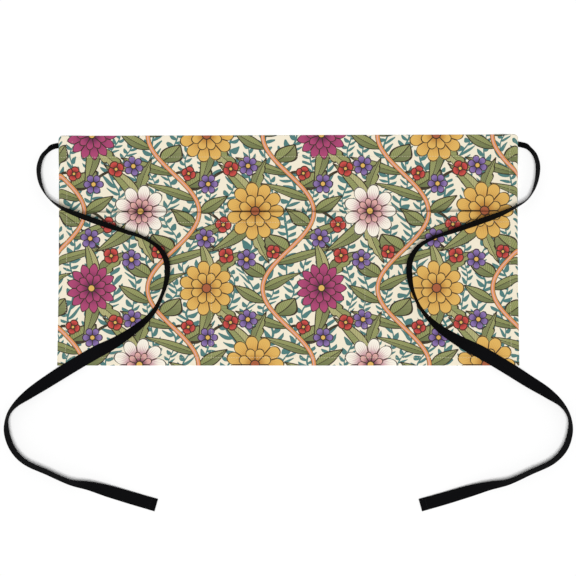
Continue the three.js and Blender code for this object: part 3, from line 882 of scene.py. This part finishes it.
# x, y, radius, petals, notch, roundness, turn, inner ink, outer ink, eye radius, eye ink, columns
BLOSSOMS = [
    (42, 16, 13.0, 6, 0.36, 2.4, 0.2, "grape", "violet", 3.4, "mustard", ALL),
    (97, -12, 13.0, 6, 0.36, 2.4, 0.5, "grape", "violet", 3.4, "mustard", ALL),
    (46, 88, 13.0, 6, 0.36, 2.4, 0.0, "grape", "violet", 3.4, "mustard", ALL),
    (99, 112, 13.0, 6, 0.36, 2.4, 0.3, "grape", "violet", 3.4, "mustard", ALL),
    (70, -7, 10.5, 4, 0.22, 2.0, 0.4, "brick", "red", 2.6, "mustard", ALL),
    (66, 34, 10.5, 4, 0.22, 2.0, 0.1, "brick", "red", 2.6, "mustard", ALL),
    (76, 108, 10.5, 4, 0.22, 2.0, 0.7, "brick", "red", 2.6, "mustard", ALL),
    (20, 102, 9.5, 4, 0.22, 2.0, 0.2, "brick", "red", 2.4, "mustard", ALL),
    (-20, -2, 9.5, 4, 0.22, 2.0, 0.6, "brick", "red", 2.4, "mustard", ALL),
    (-44, 52, 38.0, 11, 0.22, 2.4, 0.0, "honey", "mustard", 8.0, "honey", EVEN),
    (-44, 52, 22.0, 8, 0.26, 2.2, 0.5, "honey", "mustard", 6.0, "rust", EVEN),
    (-44, 52, 35.0, 9, 0.34, 2.2, 0.0, "magenta", "cream", 7.0, "mustard", ODD),
    (-44, 52, 17.0, 9, 0.30, 2.0, 0.5, "plum", "rose", 4.5, "mustard", ODD),
    (44, -50, 33.0, 13, 0.24, 1.4, 0.0, "plum", "magenta", 8.0, "plum", EVEN),
    (44, -50, 20.0, 9, 0.26, 1.5, 0.5, "plum", "magenta", 4.5, "mustard", EVEN),
    (44, -50, 36.0, 11, 0.22, 2.4, 0.0, "honey", "mustard", 8.0, "honey", ODD),
    (44, -50, 21.0, 8, 0.26, 2.2, 0.5, "honey", "mustard", 6.0, "rust", ODD),
]
print(len(BLOSSOMS), "blossoms")

# %% [markdown]
# ### The print, pass by pass
# A printer lays one ink after the other, each over the last, and the passes here do the same: ground,
# fine foliage, stalks, stems with their leaves, large leaves, blossoms. One huge formula could give the
# colour at once, but passes can be changed one by one. A slow noise bends the foliage so that it looks
# drawn by hand.

# %% Passes
PRINT, _ = new_group("trailing floral print", {}, {"Color": "Color"})
point = add(PRINT, "UVMap", uv_map="flat_mm")


def directions(degrees):
    """Directions along and across a leaf turned from +X: cosine and sine, and a quarter turn on."""
    c, s = math.cos(math.radians(degrees)), math.sin(math.radians(degrees))
    return (c, s, 0), (-s, c, 0)


def stem_pass(colour, place, turn, sizes, inks):
    """Columns of stems with their leaves, drawn over colour."""
    along, across = directions(turn)
    return add(PRINT, "Group", colour, place, node_tree=STEM, inputs={
        "Along": along, "Across": across, **sizes, **{part: INK[ink] for part, ink in inks.items()}})


def leaf_pass(colour, at_x, at_y, turn, length, width, bend, lobes, notch, light, dark):
    """One leaf in each repeat, drawn over colour with its base at the place and turned from +X."""
    local = add(PRINT, "Group", point, (at_x, at_y, 0), node_tree=REPEAT)
    return add(PRINT, "Group", colour, local, *directions(turn), length, width, bend, lobes, notch,
               INK[light], INK[dark], INK["lime"], INK["line"], node_tree=LEAF)


def blossom_pass(colour, at_x, at_y, radius, petals, notch, roundness, turn, inner, outer, eye, eye_ink,
                 columns):
    """One blossom in each repeat of the columns that have it, drawn over colour."""
    local = add(PRINT, "Group", point, (at_x, at_y, 0), node_tree=REPEAT)
    shown = add(PRINT, "Math", local.outputs["Odd"], *columns, operation="MULTIPLY_ADD")
    return add(PRINT, "Group", colour, local, radius, petals, notch, roundness, turn, INK[inner],
               INK[outer], INK["line"], eye, INK[eye_ink], shown, node_tree=BLOSSOM)

# %% Printing
FOLIAGE_NOISE_MM, FOLIAGE_BEND_MM = 45, 22
noise = add(PRINT, "TexNoise", noise_dimensions="2D",
            inputs={"Vector": point, "Scale": 1 / FOLIAGE_NOISE_MM, "Detail": 0.0})
shift = add(PRINT, "VectorMath", noise.outputs["Color"], (0.5, 0.5, 0.5), operation="SUBTRACT")
reach = (FOLIAGE_BEND_MM, FOLIAGE_BEND_MM, 0)
moved = add(PRINT, "VectorMath", shift, reach, point, operation="MULTIPLY_ADD")
colour = stem_pass(INK["ground"], moved, FOLIAGE_TURN, FOLIAGE, FOLIAGE_INKS)
for at_x, at_y, turn, length, bend in STALKS:
    colour = leaf_pass(colour, at_x, at_y, turn, length, STALK_WIDTH, bend, 0, 0, "olive", "moss")
colour = stem_pass(colour, point, VINE_TURN, VINE, VINE_INKS)
for leaf in LEAVES:
    colour = leaf_pass(colour, *leaf)
for blossom in BLOSSOMS:
    colour = blossom_pass(colour, *blossom)
add(PRINT, "NodeGroupOutput", colour)
print("print:", len(PRINT.nodes), "nodes")

# %% [markdown]
# ## Cloth and ribbon
# The cloth is a plain weave of polyester, printed on its face, and the ribbon a ribbed one dyed black.
# Threads could be modelled one by one, but there are far too many. So waves along and across the flat
# map give the height of the threads, for bump and for painted shade between them, and on the ribbon for
# a painted highlight on the ribs. Weave and ribs are drawn a little coarser than the real thread counts,
# or they would be too fine to show.

# %% Weave
WEAVE_MM, RIB_MM, ACROSS_RIBS = 1.0, 1.1, 0.15
RELIEF, RIB_RELIEF, BUMP_STRENGTH = 0.00008, 0.0001, 0.5


def weave(tree, along_mm, across_mm, across_share=0.5):
    """Height of the threads from 0 to 1: a sine along the flat map and one across it, mixed by share."""
    point = add(tree, "UVMap", uv_map="flat_mm")
    radians_per_mm = (math.tau / along_mm, math.tau / across_mm, 0)
    scaled = add(tree, "VectorMath", point, radians_per_mm, operation="MULTIPLY")
    waves = add(tree, "VectorMath", scaled, operation="SINE")
    mixed = add(tree, "VectorMath", waves, (1 - across_share, across_share, 0), operation="DOT_PRODUCT")
    return add(tree, "MapRange", mixed.outputs["Value"], -1.0, 1.0)


print(f"threads {WEAVE_MM} mm apart, ribs {RIB_MM} mm apart")

# %% Cloth and ribbon materials
# shade in the dips between threads, the thread height where it ends, and the ink seen from behind
DIP_SHADE, DIP_END, GHOST_SHARE = 0.22, 0.6, 0.16


def canvas(tree):
    """Woven polyester, printed by heat transfer: matt, with the ink in the thread and shade between."""
    threads = weave(tree, WEAVE_MM, WEAVE_MM)
    dips = add(tree, "MapRange", threads, 0.0, DIP_END, DIP_SHADE, 0.0)
    inked = add(tree, "Group", node_tree=PRINT)
    shaded = add(tree, "MixRGB", dips, inked, rgb("#b0a690"), blend_type="MULTIPLY")
    relief = {"Height": threads, "Strength": BUMP_STRENGTH, "Distance": RELIEF}
    return {"Base Color": shaded, "Roughness": 0.85, "Specular IOR Level": 0.2, "Sheen Weight": 0.08,
            "Normal": add(tree, "Bump", inputs=relief)}


def reverse(tree):
    """The same cloth from behind: pale and matt, where only a ghost of the ink has come through."""
    threads = weave(tree, WEAVE_MM, WEAVE_MM)
    inked = add(tree, "Group", node_tree=PRINT)
    ghost = add(tree, "MixRGB", GHOST_SHARE, rgb("#efebe0"), inked)
    relief = {"Height": threads, "Strength": BUMP_STRENGTH, "Distance": RELIEF}
    return {"Base Color": ghost, "Roughness": 0.9, "Specular IOR Level": 0.2,
            "Normal": add(tree, "Bump", inputs=relief)}


def grosgrain(tree):
    """Ribbed ribbon, dyed black before weaving and dull, with a painted highlight on the rib tops and
    painted shade in the grooves.
    """
    ribs = weave(tree, RIB_MM, WEAVE_MM, ACROSS_RIBS)
    # painted light: near black in the grooves as painted shade, a lighter black on the rib tops as painted
    # highlight
    black = add(tree, "MixRGB", ribs, rgb("#000001"), rgb("#151517"))
    relief = {"Height": ribs, "Strength": BUMP_STRENGTH, "Distance": RIB_RELIEF}
    return {"Base Color": black, "Roughness": 0.85, "Specular IOR Level": 0.03,
            "Normal": add(tree, "Bump", inputs=relief)}


cloth_print = surface("printed polyester canvas", canvas)
cloth_back = surface("unprinted reverse of polyester canvas", reverse)
ribbon = surface("black polyester grosgrain", grosgrain)

# %% [markdown]
# ## Thread
# Sewing thread is spun from several strands, ecru on the cloth and black on the ribbons. Its strands are
# thinner than a pixel, so noise as fine as their twist stands in for them.

# %% Thread materials
TWIST = 0.0007


def spun_thread(tree, dark, light):
    """Sewing thread between two tones, mottled where its twisted strands catch the light."""
    place = add(tree, "TexCoord").outputs["Object"]
    strands = add(tree, "TexNoise", inputs={"Vector": place, "Scale": 1 / TWIST, "Detail": 1.0})
    return {"Base Color": add(tree, "MixRGB", strands, rgb(dark), rgb(light)), "Roughness": 0.8,
            "Specular IOR Level": 0.2}


ecru_thread = surface("ecru spun polyester thread", lambda tree: spun_thread(tree, "#d2c6a6", "#f4ecd8"))
black_thread = surface("black spun polyester thread", lambda tree: spun_thread(tree, "#09090a", "#242427"))

# %% Which piece is made of what: face, then reverse
finishes = [(panel, (cloth_print, cloth_back)), (pocket, (cloth_print, cloth_back))]
finishes += [(piece, (ribbon, ribbon)) for piece, *_ in ties.values()]
finishes += [(piece, (ecru_thread,)) for piece in (panel_stitches, pocket_stitches)]
finishes += [(piece, (black_thread,)) for piece in tie_stitches.values()]
for piece, materials in finishes:
    for material in materials:
        piece.data.materials.append(material)
print(len(finishes), "pieces have their materials")

# %% [markdown]
# ## What each piece stands for
# The drawn pieces take the place of the plain solids of the same shape and ride on the one body, and
# the stitches go with them.

# %% Frame links
for piece, node in ((panel, "body_panel"), (pocket, "pocket_panel")):
    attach(piece, "root")
    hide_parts(node)
for name, (piece, middle, length, _) in ties.items():
    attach(piece, "root")
    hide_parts(name)
    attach(tie_stitches[name], "root")
for piece in (panel_stitches, pocket_stitches):
    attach(piece, "root")
print(len(ties), "cords and 2 sheets on the body")

# %% [markdown]
# ## Table and light
# A white table under a weak, even white surround, and one broad soft lamp almost overhead, a little
# towards the bottom edge of the picture. Light from the sides would let the standing ribbons darken the
# table beside them, so most of it comes from the lamp. Together they bring the table to full white.

# %% Table
TABLE_HALF = 12.0
table_mesh = bpy.data.meshes.new("table_top")
corners = TABLE_HALF * np.array([(-1, -1, 0), (1, -1, 0), (1, 1, 0), (-1, 1, 0)], dtype=float)
table_mesh.from_pydata(corners.tolist(), [], [(0, 1, 2, 3)])
table = bpy.data.objects.new("table_top", table_mesh)
bpy.context.scene.collection.objects.link(table)
# rolled matt paint: no gloss, so that nothing is mirrored in it
table.data.materials.append(surface("white matte table paint", lambda tree: {
    "Base Color": rgb("#fbfbfb"), "Roughness": 0.9}))
print(f"table {2 * TABLE_HALF:.0f} m wide")

# %% Light
SURROUND, LAMP, LAMP_SPREAD, LAMP_TILT = 0.20, 2.72, 24, 8
lamp_data = bpy.data.lights.new("broad soft lamp", "SUN")
lamp_data.energy = LAMP
lamp_data.angle = math.radians(LAMP_SPREAD)
lamp = bpy.data.objects.new("broad soft lamp", lamp_data)
lamp.rotation_euler = (math.radians(LAMP_TILT), 0, 0)
bpy.context.scene.collection.objects.link(lamp)
world = bpy.data.worlds.new("even white surround")
world.use_nodes = True
background = world.node_tree.nodes["Background"]
background.inputs["Color"].default_value = rgb("#ffffff")
background.inputs["Strength"].default_value = SURROUND
bpy.context.scene.world = world
bpy.context.scene.view_settings.view_transform = "Standard"
print(f"lamp leaning {LAMP_TILT} degrees")
